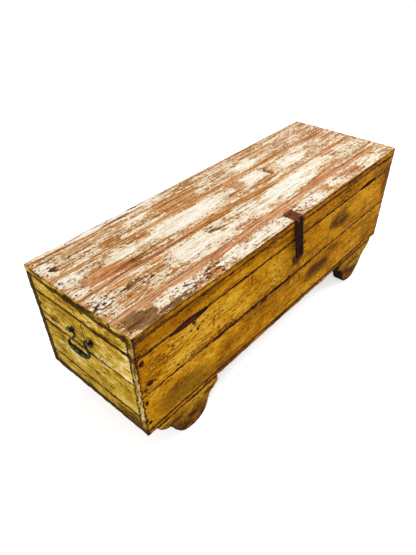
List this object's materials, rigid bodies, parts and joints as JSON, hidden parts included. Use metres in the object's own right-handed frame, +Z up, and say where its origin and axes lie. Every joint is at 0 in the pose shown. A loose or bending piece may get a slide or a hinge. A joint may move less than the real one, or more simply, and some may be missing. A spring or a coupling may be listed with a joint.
{
  "type": "blanket trunk",
  "caption": "Long painted plank trunk on shaped bracket feet, with a hinged lid, a hasp and staple at the front and a drop bail handle on each end.",
  "frame": {"origin": "on the floor, centred on the length and on the whole depth, from the hasp's lower end to the hinge knuckles", "axes": "+X along the length to the right, -Y is the front with the hasp, +Z up"},
  "size_m": [1.3252, 0.4536, 0.5037],
  "materials": {
    "ochre_paint": "old golden ochre paint, worn and stained",
    "pale_ochre_paint": "old pale ochre paint, grimy at the edges",
    "cream_paint": "flaking off-white paint over brown wood",
    "bare_wood": "bare aged wood",
    "rusted_iron": "dark brown rust",
    "forged_iron": "dark worn forged iron"
  },
  "bodies": {
    "chest": {"front_board_upper": "ochre_paint", "front_board_lower": "ochre_paint", "floor_board_front": "ochre_paint", "front_left_foot": "ochre_paint", "front_right_foot": "ochre_paint", "back_left_foot": "ochre_paint", "back_right_foot": "ochre_paint", "left_end_board_upper": "pale_ochre_paint", "left_end_board_middle": "pale_ochre_paint", "left_end_board_lower": "pale_ochre_paint", "right_end_board_upper": "pale_ochre_paint", "right_end_board_middle": "pale_ochre_paint", "right_end_board_lower": "pale_ochre_paint", "back_board_upper": "bare_wood", "back_board_lower": "bare_wood", "floor_board_back": "bare_wood", "floor_board_middle": "bare_wood", "left_hinge_lower_leaf": "rusted_iron", "left_hinge_pin": "rusted_iron", "right_hinge_lower_leaf": "rusted_iron", "right_hinge_pin": "rusted_iron", "left_hinge_lower_nail_a": "rusted_iron", "left_hinge_lower_nail_b": "rusted_iron", "right_hinge_lower_nail_a": "rusted_iron", "right_hinge_lower_nail_b": "rusted_iron", "staple": "rusted_iron", "left_front_post": "forged_iron", "left_front_rove": "forged_iron", "left_back_post": "forged_iron", "left_back_rove": "forged_iron", "right_front_post": "forged_iron", "right_front_rove": "forged_iron", "right_back_post": "forged_iron", "right_back_rove": "forged_iron"},
    "lid": {"lid_front_skirt": "ochre_paint", "lid_left_skirt": "pale_ochre_paint", "lid_right_skirt": "pale_ochre_paint", "lid_back_skirt": "bare_wood", "lid_batten_left": "bare_wood", "lid_batten_right": "bare_wood", "top_board_back": "cream_paint", "top_board_rear_middle": "cream_paint", "top_board_front_middle": "cream_paint", "top_board_front": "cream_paint", "left_hinge_upper_leaf": "rusted_iron", "right_hinge_upper_leaf": "rusted_iron", "left_hinge_upper_nail_a": "rusted_iron", "left_hinge_upper_nail_b": "rusted_iron", "right_hinge_upper_nail_a": "rusted_iron", "right_hinge_upper_nail_b": "rusted_iron", "hasp_leaf": "rusted_iron", "hasp_pin": "rusted_iron", "hasp_nail_front": "rusted_iron", "hasp_nail_back": "rusted_iron"},
    "hasp": {"hasp_strap": "rusted_iron"},
    "left_bail": {"left_bail": "forged_iron"},
    "right_bail": {"right_bail": "forged_iron"}
  },
  "joints": [
    {"name": "lid_hinge", "type": "hinge", "parent": "chest", "child": "lid", "pos_m": [0, 0.22183, 0.426], "axis": [-1, 0, 0], "range_deg": [0, 105]},
    {"name": "hasp_hinge", "type": "hinge", "parent": "lid", "child": "hasp", "pos_m": [0.007, -0.21127, 0.4963], "axis": [-1, 0, 0], "range_deg": [-8.1, 205]},
    {"name": "left_bail_hinge", "type": "hinge", "parent": "chest", "child": "left_bail", "pos_m": [-0.644, 0.00553, 0.374], "axis": [0, 1, 0], "range_deg": [-14, 160]},
    {"name": "right_bail_hinge", "type": "hinge", "parent": "chest", "child": "right_bail", "pos_m": [0.644, 0.00553, 0.374], "axis": [0, -1, 0], "range_deg": [-14, 160]}
  ]
}
